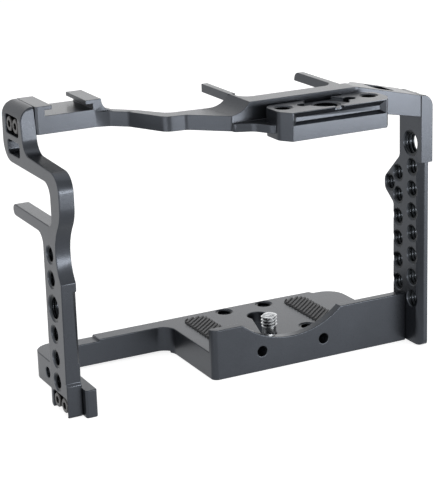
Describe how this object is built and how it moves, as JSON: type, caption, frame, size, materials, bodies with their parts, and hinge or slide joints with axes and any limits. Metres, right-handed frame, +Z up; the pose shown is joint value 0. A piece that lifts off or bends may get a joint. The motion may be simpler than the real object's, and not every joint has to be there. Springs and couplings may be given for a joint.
{
  "type": "camera cage",
  "caption": "Ring-shaped metal cage for a mirrorless camera, with side frames full of threaded holes, a cold shoe, a front rail and a captive camera screw.",
  "frame": {"origin": "the camera screw's axis where it passes the base plate's top face", "axes": "+X toward the side plate (the camera's left as it shoots toward -Y), +Y from lens side to the back, +Z up"},
  "size_m": [0.1518, 0.0736, 0.1081],
  "materials": {
    "top_frame": "matt black anodised",
    "side_frames": "matt black anodised",
    "base_frame": "matt black anodised",
    "rubber": "ribbed",
    "bright_steel": "plain stainless steel",
    "black_steel": "black oxide"
  },
  "bodies": {
    "cage": {"top_plate": "top_frame", "grip_side_arm": "side_frames", "side_plate": "side_frames", "base_plate": "base_frame", "left_pad": "rubber", "right_pad": "rubber", "arm_top_front_screw": "black_steel", "arm_top_rear_screw": "black_steel", "arm_bottom_front_screw": "black_steel", "arm_bottom_rear_screw": "black_steel", "side_top_front_screw": "black_steel", "side_top_rear_screw": "black_steel", "side_bottom_front_screw": "black_steel", "side_bottom_rear_screw": "black_steel"},
    "washer": {"screw_washer": "bright_steel"},
    "camera_screw": {"camera_screw": "bright_steel"}
  },
  "joints": [
    {"name": "screw_slide", "type": "slide", "parent": "cage", "child": "washer", "axis": [0.2808, 0.9598, 0], "range_m": [0, 0.0213]},
    {"name": "screw_spin", "type": "hinge", "parent": "washer", "child": "camera_screw", "pos_m": [0, 0, 0], "axis": [0, 0, 1], "continuous": true}
  ]
}
